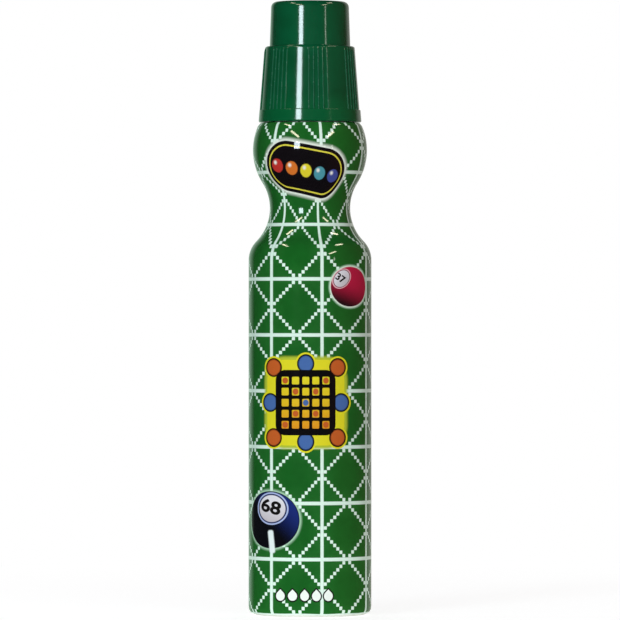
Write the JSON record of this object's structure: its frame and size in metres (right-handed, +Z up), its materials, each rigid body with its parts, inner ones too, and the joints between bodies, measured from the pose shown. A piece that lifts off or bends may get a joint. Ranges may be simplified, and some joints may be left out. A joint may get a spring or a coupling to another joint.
{
  "type": "bingo dauber",
  "caption": "Waisted ink bottle with a lattice-printed shrink sleeve, a stepped screw cap with grouped grip ribs and a sprung valve under a domed foam nib, for daubing bingo cards.",
  "frame": {"origin": "on the floor, under the middle of the bottle's base", "axes": "+Z up along the bottle's axis; -Y faces the viewer of the picture, +X is on their right"},
  "size_m": [0.028, 0.028, 0.14],
  "materials": {
    "bottle_hdpe": "satin",
    "sleeve_print": "gloss",
    "ink": "gloss",
    "holder_ldpe": "satin",
    "valve_plastic": "satin",
    "spring_steel": "polished",
    "nib_foam": "matte",
    "nib_cloth": "matte",
    "cap_pp": "gloss",
    "gasket_foam": "matte"
  },
  "bodies": {
    "bottle_body": {"bottle": "bottle_hdpe", "shrink_sleeve": "sleeve_print", "ink_fill": "ink", "nib_holder": "holder_ldpe", "spring_retainer": "valve_plastic", "valve_spring": "spring_steel"},
    "seal": {"cap_gasket": "gasket_foam"},
    "cap_body": {"cap": "cap_pp"},
    "nib_body": {"valve_poppet": "valve_plastic", "nib_pusher": "valve_plastic", "foam_nib": "nib_foam", "nib_cover": "nib_cloth"}
  },
  "joints": [
    {"name": "cap_lift", "type": "slide", "parent": "bottle_body", "child": "seal", "axis": [0, 0, 1], "range_m": [0, 0.027]},
    {"name": "cap_turn", "type": "hinge", "parent": "seal", "child": "cap_body", "pos_m": [0, 0, 0.12], "axis": [0, 0, 1], "range_deg": [0, 1080]},
    {"name": "nib_press", "type": "slide", "parent": "bottle_body", "child": "nib_body", "axis": [0, 0, -1], "range_m": [0, 0.0015], "stiffness_N_per_m": 300, "springref_m": -0.002, "deforming": ["valve_spring"]}
  ],
  "couplings": [
    {"joint": "cap_turn", "follows": "cap_lift", "rad_per_m": 698.13}
  ]
}
